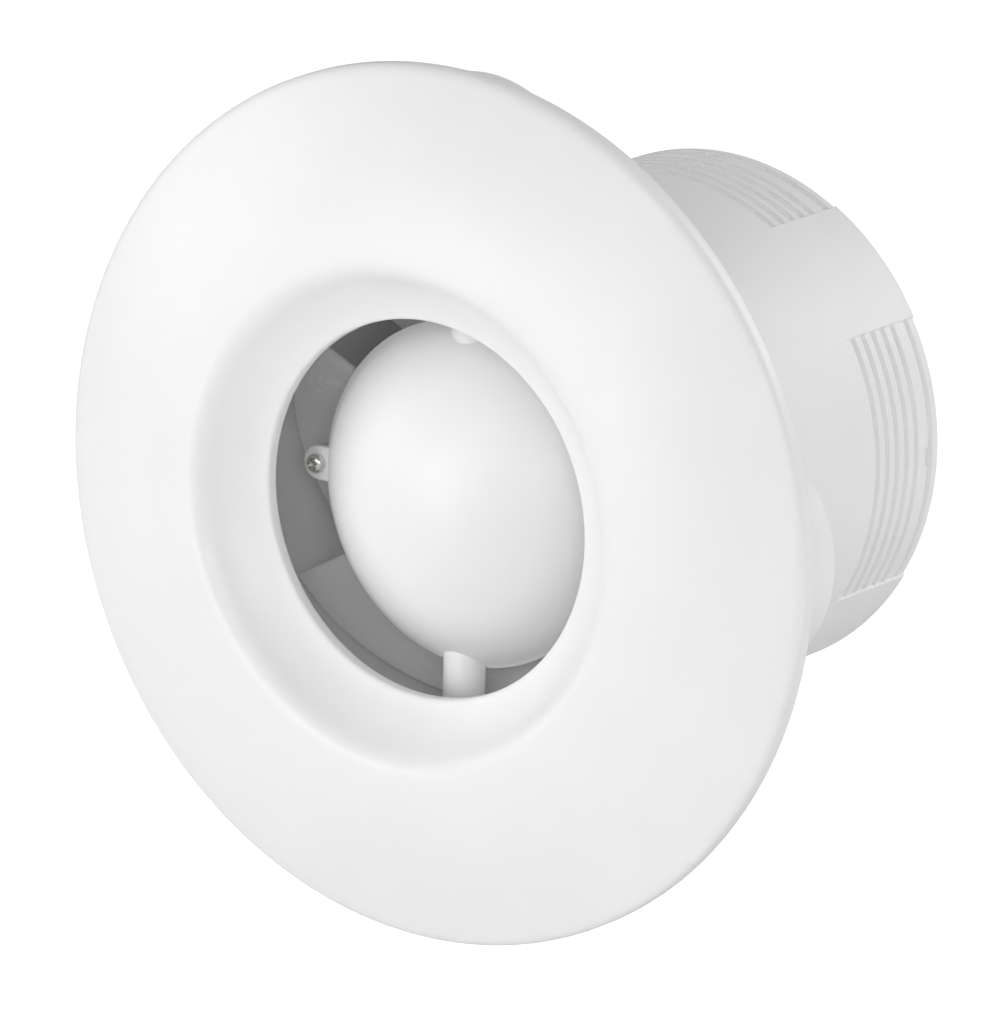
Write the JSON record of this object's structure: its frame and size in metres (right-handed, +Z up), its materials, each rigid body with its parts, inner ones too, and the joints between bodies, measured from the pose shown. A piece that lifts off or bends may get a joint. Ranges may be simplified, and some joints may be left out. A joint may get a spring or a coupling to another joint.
{
  "type": "bathroom extractor fan",
  "caption": "Round-fronted axial extractor fan with a dished cover, a domed motor pod on struts, an impeller in a round spigot and a rear shutter.",
  "frame": {"origin": "on the fan's axis, halfway between the foremost ring of the front panel and the open end of the spigot", "axes": "+Y along the fan's axis from the room into the duct, +Z up, +X to the right for someone in the room"},
  "size_m": [0.162, 0.102, 0.162],
  "materials": {
    "white_plastic": "satin moulded",
    "impeller_plastic": "glossy moulded",
    "cream_plastic": "matt moulded",
    "zinc_steel": "bright zinc plated",
    "spring_steel": "drawn wire",
    "laminated_steel": "stacked sheet edges",
    "copper_wire": "lacquered winding",
    "brass": "turned",
    "bronze": "sintered",
    "black_rubber": "matt",
    "brown_insulation": "smooth",
    "blue_insulation": "smooth"
  },
  "bodies": {
    "housing": {"base_housing": "white_plastic", "cable_clamp": "white_plastic", "cable_grommet": "black_rubber", "clamp_screw_inner": "zinc_steel", "clamp_screw_outer": "zinc_steel", "coil_1": "copper_wire", "coil_2": "copper_wire", "coil_3": "copper_wire", "coil_4": "copper_wire", "cover_screw": "zinc_steel", "flap_spring_left": "spring_steel", "flap_spring_right": "spring_steel", "foot_screw_bottom": "zinc_steel", "foot_screw_top": "zinc_steel", "front_bearing": "bronze", "hinge_pin": "spring_steel", "lead_live": "brown_insulation", "lead_neutral": "blue_insulation", "lug_screw_left": "zinc_steel", "lug_screw_right": "zinc_steel", "motor_can": "zinc_steel", "motor_plate": "zinc_steel", "motor_pod": "white_plastic", "rear_bearing": "bronze", "shutter_frame": "white_plastic", "stator_core": "laminated_steel", "terminal_block": "cream_plastic", "terminal_cover": "white_plastic", "terminal_insert_live": "brass", "terminal_insert_neutral": "brass", "terminal_screw_live": "zinc_steel", "terminal_screw_neutral": "zinc_steel"},
    "rotor": {"shaft": "zinc_steel", "rotor_core": "laminated_steel", "impeller": "impeller_plastic", "impeller_clip": "spring_steel"},
    "panel": {"front_panel": "white_plastic"},
    "flap_left": {"flap_left": "white_plastic"},
    "flap_right": {"flap_right": "white_plastic"}
  },
  "joints": [
    {"name": "rotor_spin", "type": "hinge", "parent": "housing", "child": "rotor", "pos_m": [0, 0, 0], "axis": [0, 1, 0], "continuous": true},
    {"name": "panel_pull", "type": "slide", "parent": "housing", "child": "panel", "axis": [0, -1, 0], "range_m": [0, 0.05]},
    {"name": "flap_left_swing", "type": "hinge", "parent": "housing", "child": "flap_left", "pos_m": [0, 0.047, 0], "axis": [0, 0, -1], "range_deg": [0, 78], "deforming": ["flap_spring_left"]},
    {"name": "flap_right_swing", "type": "hinge", "parent": "housing", "child": "flap_right", "pos_m": [0, 0.047, 0], "axis": [0, 0, 1], "range_deg": [0, 78], "deforming": ["flap_spring_right"]}
  ]
}
